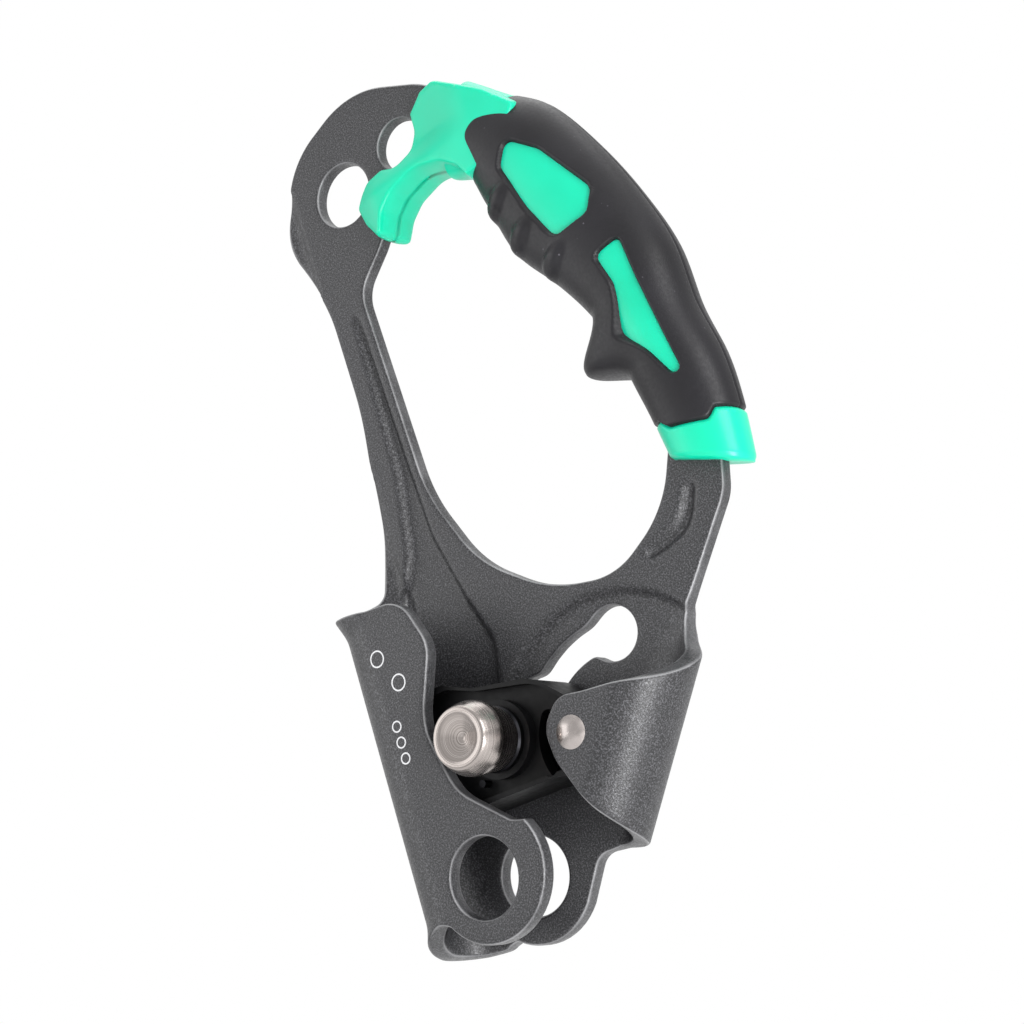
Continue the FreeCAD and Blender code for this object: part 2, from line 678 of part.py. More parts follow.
def station_wire(station, inset):
    """Oval section of the handle: its width lies along the heading, its depth along Y."""
    x, z, heading, half_width, half_depth = station
    turn = math.radians(heading)
    centre = Vector(x, MID_Y, z)
    across = Vector(math.cos(turn), 0, math.sin(turn)) * (half_width - inset)
    depth = Vector(0, half_depth - inset, 0)
    count = int(size("oval_points"))
    steps = [2 * math.pi * i / count for i in range(count)]
    oval = Part.BSplineCurve()
    oval.interpolate([centre + across * math.cos(a) + depth * math.sin(a) for a in steps], True)
    return Part.Wire([oval.toShape()])


def handle_loft(inset=0.0):
    """Whole handle as one ruled loft, shrunk by an inset all round and cut at its slanted foot."""
    loft = Part.makeLoft([station_wire(s, inset) for s in STATIONS], True, True)
    return loft.cut(beyond(FOOT_END))


def beyond(station):
    """Large block on the foot side of a station's plane."""
    x, z, heading = station[:3]
    reach = 160
    block = Part.makeBox(reach, reach, reach, Vector(-reach / 2, -reach / 2, -reach))
    block.Placement = Placement(Vector(x, MID_Y, z), Rotation(Vector(0, 1, 0), -heading))
    return block


def near_half(front):
    """Large block on one side of the plate's middle plane."""
    reach = 300
    start_y = MID_Y - reach if front else MID_Y
    return Part.makeBox(reach, reach, reach, Vector(-100, start_y, -50))


def prism(edges, start_y, end_y):
    """Front-view outline, or outline with holes, carried from one Y to another."""
    face = Part.makeFace([Part.Wire(loop) for loop in Part.sortEdges([e.toShape() for e in edges])],
                         "Part::FaceMakerBullseye")
    face.rotate(Vector(0, 0, 0), Vector(1, 0, 0), 90)
    face.translate(Vector(0, start_y, 0))
    return face.extrude(Vector(0, end_y - start_y, 0))


def collar_outline():
    """Head end of the hard shell: saddle over the plate between the two head holes."""
    return rounded_outline([
        (37, 171.6, 1), (32, 172.3, 2), (26.8, 169.3, 1), (27.6, 163.2, 2), (24.2, 158.8, 3),
        (18.6, 158, 3), (13.2, 160.6, 2), (7, 156, 2), (7.9, 150, 2), (11.2, 144.4, 0.8),
        (16, 152, 3), (26, 155, 5), (36.5, 150, 2), (37.6, 149.2, 0.8), (44, 152, 2),
    ])


def plate_room():
    """Room for the main plate inside the handle, with the fit's clearance on both faces."""
    gap = T / 2 + size("fit_clearance")
    return prism(plate_outline() + window_outline(), MID_Y - gap, MID_Y + gap)


def screw_drill(radius, start_y, end_y):
    """Drill for all the handle screws at once."""
    return prism([circle(p, radius) for p in SCREWS], start_y, end_y)


def add_feature(name, shape):
    feature = doc.addObject("Part::Feature", name)
    feature.Label = name
    feature.Shape = shape
    return feature


def make_core(name, front):
    """Half of the hard shell: the core under the rubber, its two collars and the saddle."""
    half_core = size("core_thickness") / 2
    outer = handle_loft()
    collars = outer.cut(beyond(STATIONS[GRIP_FIRST])).fuse(outer.common(beyond(STATIONS[GRIP_LAST])))
    saddle = prism(collar_outline(), MID_Y - half_core, MID_Y + half_core)
    shell = handle_loft(size("rubber_thickness")).fuse([collars, saddle]).common(near_half(front))
    shell = shell.cut(plate_room())
    if front:
        drill = screw_drill(size("screw_radius"), MID_Y - half_core, MID_Y)
    else:
        seat = T + size("screw_seat")
        drill = screw_drill(size("screw_radius") + size("fit_clearance"), 0, seat)
        drill = drill.fuse(screw_drill(size("screw_head_radius") + size("fit_clearance"), seat, seat + 40))
    return add_feature(name, shell.cut(drill).removeSplitter())


def grip_windows():
    """Two openings in the rubber that show the hard shell."""
    return [
        rounded_outline([(50.6, 147.6, 2), (57.6, 141.6, 4), (66.4, 127.4, 3), (64.0, 121.8, 2),
                         (54.8, 120.6, 3), (50.6, 130.5, 4), (47.2, 142.5, 2)]),
        rounded_outline([(68.9, 113.6, 1), (69.6, 104, 8), (72.2, 81.2, 1), (70.0, 81.2, 1),
                         (63.4, 94.6, 4), (64.3, 105, 5), (62.4, 112.2, 1.5)]),
    ]


def make_grip(name, front):
    """Half of the rubber sleeve: the loft outside the hard shell, between the collars."""
    sleeve = handle_loft().common(beyond(STATIONS[GRIP_FIRST])).cut(beyond(STATIONS[GRIP_LAST]))
    sleeve = sleeve.cut(handle_loft(size("rubber_thickness"))).common(near_half(front))
    sleeve = sleeve.cut(plate_room())
    reach = 40 if not front else -40
    for edges in grip_windows():
        sleeve = sleeve.cut(prism(edges, MID_Y, MID_Y + reach))
    if not front:
        sleeve = sleeve.cut(screw_drill(size("screw_head_radius") + size("fit_clearance"), MID_Y, MID_Y + reach))
    return add_feature(name, sleeve)


def make_screws():
    """Three pan head screws from the rear, one node."""
    shank = size("screw_radius")
    head = size("screw_head_radius")
    seat = T + size("screw_seat")
    top = seat + size("screw_head_height")
    tip = MID_Y - size("core_thickness") / 2
    solids = []
    for x, z in SCREWS:
        outline = [(0, tip), (shank * 0.6, tip), (shank, tip + 1.5), (shank, seat), (head, seat),
                   (head, top - 0.6), (head - 0.8, top), (0, top)]
        wire = Part.makePolygon([Vector(r, y, 0) for r, y in outline + outline[:1]])
        screw = Part.Face(wire).revolve(Vector(0, 0, 0), Vector(0, 1, 0), 360)
        drive = Part.makeBox(0.7, 1.2, head * 1.3, Vector(-0.35, top - 1.0, -head * 0.65))
        cross = drive.copy()
        cross.rotate(Vector(0, 0, 0), Vector(0, 1, 0), 90)
        screw = screw.cut(drive).cut(cross)
        screw.translate(Vector(x, 0, z))
        solids.append(screw)
    feature = doc.addObject("Part::Feature", "handle_screws")
    feature.Label = "handle_screws"
    feature.Shape = Part.makeCompound(solids)
    return feature


# ---------------------------------------------------------------- build and export

def check_document():
    """Stops on any failed object or any empty or invalid shape."""
    doc.recompute()
    for item in doc.Objects:
        if "Invalid" in item.State or "Error" in item.State:
            raise RuntimeError(f"{item.Name} failed: {item.State}")


def export_parts():
    os.makedirs("parts", exist_ok=True)
    for item in doc.Objects:
        top_level = item.TypeId == "PartDesign::Body" or item.TypeId == "Part::Feature"
        if not top_level or item.getParentGeoFeatureGroup():
            continue
        shape = item.Shape
        if shape.isNull() or not shape.isValid() or not shape.Solids:
            raise RuntimeError(f"{item.Label} has no valid solid")
        shape.exportStep(f"parts/{item.Label}.step")
        print(f"{item.Label}: {len(shape.Solids)} solid(s), {shape.Volume:.0f} mm3")


make_plate()
make_channel()
make_strap()
make_cam()
make_pivot()
make_knob()
make_peg()
make_springs()
make_core("handle_core_front", True)
make_core("handle_core_rear", False)
make_grip("grip_front", True)
make_grip("grip_rear", False)
make_screws()
check_document()
export_parts()
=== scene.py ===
# %% [markdown]
# # A hand rope ascender
# A climber pushes this tool up a rope. It is a pressed and folded aluminium plate, a toothed cam
# on a rivet, a pull knob that locks the cam, and a handle of hard green shell under soft rubber.
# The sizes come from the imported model, and Blender adds what a press, a mould and a lathe leave.

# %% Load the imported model
import json
import math
import bpy
import numpy as np
from mathutils import Matrix, Vector
from mathutils.geometry import delaunay_2d_cdt


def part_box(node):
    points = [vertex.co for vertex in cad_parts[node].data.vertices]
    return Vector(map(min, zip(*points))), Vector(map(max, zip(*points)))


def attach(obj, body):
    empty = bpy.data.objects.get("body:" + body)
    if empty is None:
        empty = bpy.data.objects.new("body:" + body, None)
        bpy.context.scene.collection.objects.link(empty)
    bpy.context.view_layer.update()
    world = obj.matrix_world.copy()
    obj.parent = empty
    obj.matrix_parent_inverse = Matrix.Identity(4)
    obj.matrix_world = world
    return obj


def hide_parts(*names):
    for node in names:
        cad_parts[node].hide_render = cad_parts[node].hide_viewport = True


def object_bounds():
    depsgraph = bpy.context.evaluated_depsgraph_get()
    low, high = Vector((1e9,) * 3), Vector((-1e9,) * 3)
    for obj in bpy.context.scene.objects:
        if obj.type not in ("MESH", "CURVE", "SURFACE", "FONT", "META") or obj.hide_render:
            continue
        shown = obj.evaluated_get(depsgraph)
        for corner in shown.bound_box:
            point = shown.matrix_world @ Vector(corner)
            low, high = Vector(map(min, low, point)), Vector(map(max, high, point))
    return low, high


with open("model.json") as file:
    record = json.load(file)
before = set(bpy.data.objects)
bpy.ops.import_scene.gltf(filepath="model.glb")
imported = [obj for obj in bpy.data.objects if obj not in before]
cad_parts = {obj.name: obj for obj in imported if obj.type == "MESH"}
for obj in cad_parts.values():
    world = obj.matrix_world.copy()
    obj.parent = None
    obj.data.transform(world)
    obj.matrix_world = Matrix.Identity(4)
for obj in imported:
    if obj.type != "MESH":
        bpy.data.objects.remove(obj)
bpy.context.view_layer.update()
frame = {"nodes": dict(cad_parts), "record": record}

print("nodes:", sorted(frame["nodes"]))

# %% [markdown]
# ## Measures that several pieces share
# Outlines are written in millimetres, as a press shop would, and turned to metres when a mesh is
# made. The pivot and the eyes come from the record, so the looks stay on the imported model.

# %% Shared measures
MM = 0.001
PLATE = 3.7
HALF = PLATE / 2
FOLD_X = -11.2
FOLD_Y = -7.15
FOLD_R = 9.0
FOLD_ARC = math.pi * FOLD_R
LEAN = math.radians(38.8)
STRAP_FOOT = np.array([23.2, 3.2])
ALONG = np.array([math.sin(LEAN), math.cos(LEAN)])
OUTWARD = np.array([math.cos(LEAN), -math.sin(LEAN)])
hinge = next(j for j in frame["record"]["behaviour"]["joints"] if j["name"] == "cam_swing")
PIVOT = np.array([hinge["pos_m"][0], hinge["pos_m"][2]]) / MM
mounts = {m["name"]: m for m in frame["record"]["mounts"]}
print("pivot at", PIVOT.round(2), "mm")


def linear(text):
    """Turns a hex colour such as 26E6BE (sRGB) into the linear numbers a shader wants."""
    rgb = np.array([int(text[i:i + 2], 16) for i in (0, 2, 4)]) / 255
    low = rgb / 12.92
    high = ((rgb + 0.055) / 1.055) ** 2.4
    return (*np.where(rgb <= 0.04045, low, high), 1.0)


# %% [markdown]
# ## From arrays to a mesh
# Every new surface below is first a set of numpy arrays. One short helper writes them into a mesh,
# in metres, at the origin, smooth shaded, and gives it its body and its material.

# %% Mesh helper
def new_piece(name, points, faces, material, body, marks=None):
    """Writes points (n x 3, mm) and faces into a mesh and hangs it on its body."""
    mesh = bpy.data.meshes.new(name)
    mesh.from_pydata((np.asarray(points) * MM).tolist(), [], faces)
    mesh.polygons.foreach_set("use_smooth", np.ones(len(mesh.polygons), dtype=bool))
    for label, values in (marks or {}).items():
        layer = mesh.attributes.new(label, "FLOAT", "POINT")
        layer.data.foreach_set("value", np.asarray(values, dtype=np.float32))
    mesh.validate()
    mesh.materials.append(material)
    piece = bpy.data.objects.new(name, mesh)
    bpy.context.scene.collection.objects.link(piece)
    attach(piece, body)
    print(f"{name}: {len(points)} points, {len(faces)} faces")
    return piece


def grid_faces(rows, columns, wrap=True, start=0):
    """Quads between the rows and columns of a grid; wrap joins the last column to the first."""
    last = columns if wrap else columns - 1
    i, j = np.meshgrid(np.arange(rows - 1), np.arange(last), indexing="ij")
    k = (j + 1) % columns
    quads = np.stack([i * columns + j, i * columns + k, (i + 1) * columns + k, (i + 1) * columns + j], -1)
    return (quads.reshape(-1, 4) + start).tolist()


def smoothstep(low, high, value):
    """0 below low, 1 above high, and a soft S between."""
    t = np.clip((value - low) / (high - low), 0, 1)
    return t * t * (3 - 2 * t)


# %% [markdown]
# ## Materials
# The coating is a powder that melts into pebbles about 0.4 mm across, rubbed thinner on the edges.
# The shell is injection moulded and lets a little light in. The rubber is satin with fine specks.
# The flap carries a few pale rings that say nothing, where a maker would mark it. One helper adds a
# node, sets its values and links its inputs, so each material reads as a list.

# %% Node helper
def add_node(tree, kind, settings=None, **inputs):
    """Adds a node. Each input is a value, or a (node, output name) pair to link from; it is named as
    Blender names it, with _ for a space, or by its number, as in i0."""
    node = tree.nodes.new(kind)
    for key, value in (settings or {}).items():
        setattr(node, key, value)
    for key, value in inputs.items():
        numbered = key[0] == "i" and key[1:].isdigit()
        socket = node.inputs[int(key[1:]) if numbered else key.replace("_", " ")]
        if isinstance(value, tuple) and len(value) == 2 and isinstance(value[1], str):
            tree.links.new(value[0].outputs[value[1]], socket)
        else:
            socket.default_value = value
    return node


def new_material(name):
    """Material with a bare shader: returns the material, its tree, its shader and object coordinates."""
    material = bpy.data.materials.new(name)
    material.use_nodes = True
    tree = material.node_tree
    shader = tree.nodes["Principled BSDF"]
    where = add_node(tree, "ShaderNodeTexCoord")
    return material, tree, shader, where


def join(tree, source, output, target, name):
    """Links one node's output to another's input."""
    tree.links.new(source.outputs[output], target.inputs[name])


def ramp(tree, factor, stops):
    """Colour ramp from (position, colour) stops."""
    node = add_node(tree, "ShaderNodeValToRGB")
    tree.links.new(factor[0].outputs[factor[1]], node.inputs["Fac"])
    while len(node.color_ramp.elements) < len(stops):
        node.color_ramp.elements.new(0.5)
    for element, (position, colour) in zip(node.color_ramp.elements, stops):
        element.position = position
        element.color = colour
    return node


# %% Laser marks
MARKS = [(-10.6, 51.6, 1.7), (-6.9, 44.9, 1.7), (-10.4, 36.4, 1.1), (-10.4, 32.9, 1.1), (-10.4, 29.4, 1.1)]


def laser_marks(tree, where, below):
    """Small pale rings on the flap's outer face, where a maker would mark it; they say nothing.
    A ring is where the distance from its middle, less its radius, is under 0.16 mm either way."""
    split = add_node(tree, "ShaderNodeSeparateXYZ", Vector=(where, "Object"))
    flat = add_node(tree, "ShaderNodeCombineXYZ", X=(split, "X"), Y=0.0, Z=(split, "Z"))
    outer_face = add_node(tree, "ShaderNodeMath", {"operation": "LESS_THAN"}, i0=(split, "Y"), i1=-17.5 * MM)
    for x, z, radius in MARKS:
        reach = add_node(tree, "ShaderNodeVectorMath", {"operation": "DISTANCE"}, i0=(flat, "Vector"),
                         i1=(x * MM, 0.0, z * MM))
        ring_line = add_node(tree, "ShaderNodeMath", {"operation": "COMPARE"}, i0=(reach, "Value"),
                             i1=radius * MM, i2=0.16 * MM)
        mask = add_node(tree, "ShaderNodeMath", {"operation": "MULTIPLY"}, i0=(ring_line, "Value"),
                        i1=(outer_face, "Value"))
        mixed = add_node(tree, "ShaderNodeMix", {"data_type": "RGBA"}, i0=(mask, "Value"), i6=below,
                         i7=linear("B8B8BA"))
        below = (mixed, "Result")
    return mixed


# %% Powder coating
def powder_coating():
    """Dark pebbles of melted powder, rubbed paler on the edges where the wear attribute is high."""
    material, tree, shader, where = new_material("pebbled powder coating, dark grey")
    pebbles = add_node(tree, "ShaderNodeTexNoise", Vector=(where, "Object"), Scale=3000.0, Detail=3.0,
                       Roughness=0.55)
    glints = add_node(tree, "ShaderNodeTexVoronoi", Vector=(where, "Object"), Scale=1500.0, Randomness=1.0)
    clouds = add_node(tree, "ShaderNodeTexNoise", Vector=(where, "Object"), Scale=90.0, Detail=3.0)
    wear = add_node(tree, "ShaderNodeAttribute", {"attribute_name": "wear"})
    base = ramp(tree, (pebbles, "Fac"), [(0.34, linear("141415")), (0.50, linear("262628")),
                                         (0.66, linear("4C4C4F"))])
    rubbed = add_node(tree, "ShaderNodeMath", {"operation": "MULTIPLY"}, i0=(wear, "Fac"), i1=(clouds, "Fac"))
    mask = ramp(tree, (rubbed, "Value"), [(0.18, (0, 0, 0, 1)), (0.62, (1, 1, 1, 1))])
    mix = add_node(tree, "ShaderNodeMix", {"data_type": "RGBA"}, i0=(mask, "Color"), i6=(base, "Color"),
                   i7=linear("7C7C7E"))
    rough = ramp(tree, (glints, "Distance"), [(0.0, (0.26,) * 3 + (1,)), (0.6, (0.44,) * 3 + (1,))])
    join(tree, rough, "Color", shader, "Roughness")
    marked = laser_marks(tree, where, (mix, "Result"))
    join(tree, marked, "Result", shader, "Base Color")
    bump = add_node(tree, "ShaderNodeBump", Strength=0.55, Distance=0.00012, Height=(pebbles, "Fac"))
    join(tree, bump, "Normal", shader, "Normal")
    shader.inputs["Metallic"].default_value = 0.2
    shader.inputs["Specular IOR Level"].default_value = 0.5
    return material


# %% Green shell
def shell_plastic():
    """Glossy green plastic with slow colour drift and a little light inside."""
    material, tree, shader, where = new_material("moulded green plastic")
    flow = add_node(tree, "ShaderNodeTexNoise", Vector=(where, "Object"), Scale=45.0, Detail=2.0)
    fine = add_node(tree, "ShaderNodeTexNoise", Vector=(where, "Object"), Scale=900.0, Detail=2.0)
    base = ramp(tree, (flow, "Fac"), [(0.25, linear("00A985")), (0.75, linear("03B893"))])
    join(tree, base, "Color", shader, "Base Color")
    bump = add_node(tree, "ShaderNodeBump", Strength=0.12, Distance=0.0001, Height=(fine, "Fac"))
    join(tree, bump, "Normal", shader, "Normal")
    shader.inputs["Roughness"].default_value = 0.32
    shader.inputs["Specular IOR Level"].default_value = 0.32
    shader.inputs["Subsurface Weight"].default_value = 0.35
    shader.inputs["Subsurface Radius"].default_value = (0.4, 1.0, 0.8)
    shader.inputs["Subsurface Scale"].default_value = 0.003
    return material


# %% Rubber
def grip_rubber():
    """Near-black satin rubber with a few specks of dust in the hollows of a slow noise."""
    material, tree, shader, where = new_material("satin moulded rubber")
    cloud = add_node(tree, "ShaderNodeTexNoise", Vector=(where, "Object"), Scale=60.0, Detail=4.0)
    grain = add_node(tree, "ShaderNodeTexNoise", Vector=(where, "Object"), Scale=1600.0, Detail=3.0)
    dust = add_node(tree, "ShaderNodeTexVoronoi", Vector=(where, "Object"), Scale=420.0)
    specks = ramp(tree, (dust, "Distance"), [(0.06, (1, 1, 1, 1)), (0.10, (0, 0, 0, 1))])
    patch = ramp(tree, (cloud, "Fac"), [(0.52, (0, 0, 0, 1)), (0.60, (1, 1, 1, 1))])
    few = add_node(tree, "ShaderNodeMath", {"operation": "MULTIPLY"}, i0=(specks, "Color"),
                   i1=(patch, "Color"))
    base = ramp(tree, (cloud, "Fac"), [(0.3, linear("0E0D10")), (0.7, linear("18171B"))])
    mix = add_node(tree, "ShaderNodeMix", {"data_type": "RGBA"}, i0=(few, "Value"), i6=(base, "Color"),
                   i7=linear("4A484E"))
    join(tree, mix, "Result", shader, "Base Color")
    rough = ramp(tree, (grain, "Fac"), [(0.3, (0.36,) * 3 + (1,)), (0.7, (0.50,) * 3 + (1,))])
    join(tree, rough, "Color", shader, "Roughness")
    bump = add_node(tree, "ShaderNodeBump", Strength=0.2, Distance=0.0001, Height=(grain, "Fac"))
    join(tree, bump, "Normal", shader, "Normal")
    shader.inputs["Specular IOR Level"].default_value = 0.28
    return material


# %% Metals
def metal(name, colour, low, high, scale, strength=0.15, coat=0.0, metallic=1.0):
    """Metal or coated metal whose roughness and micro relief follow a noise of a given scale."""
    material, tree, shader, where = new_material(name)
    grain = add_node(tree, "ShaderNodeTexNoise", Vector=(where, "Object"), Scale=scale, Detail=4.0)
    bright = linear(colour)
    dull = tuple(0.8 * c for c in bright[:3]) + (1,)
    tint = ramp(tree, (grain, "Fac"), [(0.3, dull), (0.7, bright)])
    join(tree, tint, "Color", shader, "Base Color")
    rough = ramp(tree, (grain, "Fac"), [(0.3, (low,) * 3 + (1,)), (0.7, (high,) * 3 + (1,))])
    join(tree, rough, "Color", shader, "Roughness")
    bump = add_node(tree, "ShaderNodeBump", Strength=strength, Distance=0.00006, Height=(grain, "Fac"))
    join(tree, bump, "Normal", shader, "Normal")
    shader.inputs["Metallic"].default_value = metallic
    shader.inputs["Coat Weight"].default_value = coat
    shader.inputs["Specular IOR Level"].default_value = 0.5 if metallic else 0.2
    return material


def turned_steel(centre):
    """Lathe-cut steel: fine rings round the knob's axis, cut by the tool at every turn."""
    material, tree, shader, where = new_material("turned stainless steel")
    moved = add_node(tree, "ShaderNodeMapping", Vector=(where, "Object"),
                     Location=(-centre[0] * MM, 0, -centre[1] * MM))
    split = add_node(tree, "ShaderNodeSeparateXYZ", Vector=(moved, "Vector"))
    flat = add_node(tree, "ShaderNodeCombineXYZ", X=(split, "X"), Y=0.0, Z=(split, "Z"))
    radius = add_node(tree, "ShaderNodeVectorMath", {"operation": "LENGTH"}, i0=(flat, "Vector"))
    total = add_node(tree, "ShaderNodeMath", {"operation": "ADD"}, i0=(radius, "Value"), i1=(split, "Y"))
    rings = add_node(tree, "ShaderNodeTexNoise", {"noise_dimensions": "1D"}, W=(total, "Value"),
                     Scale=7000.0, Detail=3.0)
    tint = ramp(tree, (rings, "Fac"), [(0.3, linear("756E6A")), (0.7, linear("B2ABA7"))])
    join(tree, tint, "Color", shader, "Base Color")
    rough = ramp(tree, (rings, "Fac"), [(0.3, (0.16,) * 3 + (1,)), (0.7, (0.30,) * 3 + (1,))])
    join(tree, rough, "Color", shader, "Roughness")
    bump = add_node(tree, "ShaderNodeBump", Strength=0.35, Distance=0.00005, Height=(rings, "Fac"))
    join(tree, bump, "Normal", shader, "Normal")
    shader.inputs["Metallic"].default_value = 1.0
    return material


knob_low, knob_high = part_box("knob")
KNOB = np.array([(knob_low[0] + knob_high[0]) / 2, (knob_low[2] + knob_high[2]) / 2]) / MM
coating = powder_coating()
green = shell_plastic()
rubber = grip_rubber()
steel_turned = turned_steel(KNOB)
steel_rivet = metal("bright plated rivet steel", "A8A19E", 0.20, 0.34, 500.0)
steel_plain = metal("plain bush steel", "9A9A9A", 0.30, 0.45, 900.0)
steel_dark = metal("black oxide steel", "1A1A1C", 0.25, 0.40, 900.0)
wire_steel = metal("spring wire", "8C8C8E", 0.25, 0.38, 1500.0)
cam_black = metal("black coated cast steel", "030304", 0.42, 0.55, 700.0, 0.25, 0.0, 0.0)

# %% [markdown]
# ## Outlines
# A press tool's outline is straight runs joined by arcs. Corners are given with a radius, and the
# arc that touches both runs is worked out from the half angle of the corner.

# %% Outline helpers
def rounded(corners, step=0.6):
    """Closed outline through (x, z, radius) corners: each corner becomes the arc that touches both runs."""
    spots = np.array([c[:2] for c in corners], float)
    out = []
    for i, (x, z, radius) in enumerate(corners):
        here = spots[i]
        back = spots[i - 1] - here
        ahead = spots[(i + 1) % len(corners)] - here
        back_unit = back / np.linalg.norm(back)
        ahead_unit = ahead / np.linalg.norm(ahead)
        half = math.acos(float(np.clip(back_unit @ ahead_unit, -1, 1))) / 2
        if radius <= 0 or half > 1.565:
            out.append(here[None])
            continue
        reach = min(radius / math.tan(half), 0.49 * np.linalg.norm(back), 0.49 * np.linalg.norm(ahead))
        radius = reach * math.tan(half)
        bisector = (back_unit + ahead_unit) / np.linalg.norm(back_unit + ahead_unit)
        centre = here + bisector * radius / math.sin(half)
        start = here + back_unit * reach - centre
        end = here + ahead_unit * reach - centre
        first = math.atan2(start[1], start[0])
        swing = (math.atan2(end[1], end[0]) - first + math.pi) % (2 * math.pi) - math.pi
        turns = first + swing * np.linspace(0, 1, max(3, int(abs(swing) * radius / step) + 2))
        out.append(centre + radius * np.stack([np.cos(turns), np.sin(turns)], -1))
    return even_steps(np.concatenate(out), step)


def even_steps(loop, step):
    """Closed outline cut again into equal steps along its length."""
    closed = np.concatenate([loop, loop[:1]])
    length = np.concatenate([[0], np.cumsum(np.linalg.norm(np.diff(closed, axis=0), axis=1))])
    count = max(12, int(round(length[-1] / step)))
    at = np.linspace(0, length[-1], count, endpoint=False)
    return np.stack([np.interp(at, length, closed[:, k]) for k in (0, 1)], -1)


def arc_corners(centre, radius, first, last, count):
    """Corner entries on an arc, from one angle to another in degrees."""
    turns = np.radians(np.linspace(first, last, count))
    return [(centre[0] + radius * math.cos(t), centre[1] + radius * math.sin(t), 0) for t in turns]


def ring(centre, radius, step=0.5):
    """Round hole as an outline."""
    turns = np.linspace(0, 2 * np.pi, max(24, int(2 * np.pi * radius / step)), endpoint=False)
    return np.asarray(centre) + radius * np.stack([np.cos(turns), np.sin(turns)], -1)


def counter_clockwise(loop, wanted=True):
    """Outline turned so that the metal lies on its left (outer edge) or right (hole)."""
    x, z = loop.T
    area = np.sum(x * np.roll(z, -1) - np.roll(x, -1) * z)
    return loop if (area > 0) == wanted else loop[::-1]


def distance_inside(points, loop):
    """Signed distance from points to an outline, positive inside, worked in blocks of points."""
    start = loop
    run = np.roll(loop, -1, axis=0) - loop
    square = np.maximum((run ** 2).sum(1), 1e-12)
    parts = []
    for block in np.array_split(points, max(1, len(points) // 1500)):
        to = block[:, None] - start[None]
        share = np.clip((to * run).sum(2) / square, 0, 1)
        gap = np.sqrt(((to - share[..., None] * run) ** 2).sum(2).min(1))
        above = start[None, :, 1] > block[:, None, 1]
        above_next = np.roll(start[:, 1], -1)[None] > block[:, None, 1]
        slope = np.where(np.abs(run[:, 1]) < 1e-12, 1e-12, run[:, 1])
        cross_x = start[:, 0] + (block[:, None, 1] - start[None, :, 1]) * run[:, 0] / slope
        crossings = ((above != above_next) & (block[:, None, 0] < cross_x)).sum(1)
        parts.append(np.where(crossings % 2 == 1, gap, -gap))
    return np.concatenate(parts)


# %% [markdown]
# ## The pressed sheet
# The real frame is one blank of 3.7 mm sheet. Its holes are punched flat, its dish and grooves are
# pressed, and then its left side is rolled into the rope channel and its right corner into the
# strap. The same order is followed here: a flat blank is filled with triangles, its edges are given
# a rolled profile, a press function lifts it, and a bend function folds it.

# %% Fill a flat blank
def blank_mesh(outer, holes, profile, step):
    """Flat sheet as rows of x, z, depth and inset, and its faces. The edge is a profile of
    (inset, depth) carried round each outline; a grid of points fills the two faces between."""
    loops = [counter_clockwise(outer)] + [counter_clockwise(hole, False) for hole in holes]
    points = []
    faces = []
    fill_loops = []
    total = 0
    for loop in loops:
        tangent = np.roll(loop, -1, axis=0) - np.roll(loop, 1, axis=0)
        tangent = tangent / np.linalg.norm(tangent, axis=1)[:, None]
        inward = np.stack([-tangent[:, 1], tangent[:, 0]], -1)
        for inset, depth in profile:
            spot = loop + inward * inset
            points.append(np.column_stack([spot, np.full(len(loop), depth), np.full(len(loop), inset)]))
        faces += grid_faces(len(profile), len(loop), True, total)
        fill_loops.append((loop + inward * profile[-1][0], total, total + (len(profile) - 1) * len(loop)))
        total += len(profile) * len(loop)
    low = loops[0].min(0)
    high = loops[0].max(0)
    xs = np.arange(low[0], high[0], step)
    zs = np.arange(low[1], high[1], step * 0.866)
    x, z = np.meshgrid(xs, zs)
    x = x + (np.arange(len(zs)) % 2)[:, None] * step / 2
    grid = np.stack([x.ravel(), z.ravel()], -1)
    keep = distance_inside(grid, fill_loops[0][0]) > 0.5 * step
    grid = grid[keep]
    for loop, _, _ in fill_loops[1:]:
        near = (np.abs(grid - loop.mean(0)) < np.ptp(loop, axis=0) / 2 + 2).all(1)
        clear = np.ones(len(grid), bool)
        clear[near] = distance_inside(grid[near], loop) < -0.5 * step
        grid = grid[clear]
    flat = [fill for fill, _, _ in fill_loops]
    counts = np.cumsum([0] + [len(f) for f in flat])
    edges = []
    for first, fill in zip(counts, flat):
        edges += [(int(first + i), int(first + (i + 1) % len(fill))) for i in range(len(fill))]
    everything = np.concatenate(flat + [grid])
    spots, _, triangles, origin, _, _ = delaunay_2d_cdt([Vector(p) for p in everything], edges, [], 0, 1e-7)
    triangles = np.array([t for t in triangles if len(t) == 3])
    spots = np.array([tuple(s) for s in spots])
    middle = spots[triangles].mean(1)
    inside = distance_inside(middle, flat[0]) > 0
    for fill in flat[1:]:
        inside &= distance_inside(middle, fill) < 0
    triangles = triangles[inside]
    source = np.array([o[0] if len(o) else -1 for o in origin])
    back_index = np.empty(len(everything), int)
    front_index = np.empty(len(everything), int)
    for first, (fill, back_start, front_start) in zip(counts, fill_loops):
        back_index[first:first + len(fill)] = back_start + np.arange(len(fill))
        front_index[first:first + len(fill)] = front_start + np.arange(len(fill))
    rest = counts[-1]
    back_index[rest:] = total + np.arange(len(grid))
    front_index[rest:] = total + len(grid) + np.arange(len(grid))
    points.append(np.column_stack([grid, np.full(len(grid), profile[0][1]), np.full(len(grid), 9.0)]))
    points.append(np.column_stack([grid, np.full(len(grid), profile[-1][1]), np.full(len(grid), 9.0)]))
    corner = source[triangles]
    corner = corner[(corner >= 0).all(1)]
    faces += front_index[corner].tolist()
    faces += back_index[corner[:, ::-1]].tolist()
    return np.concatenate(points), faces


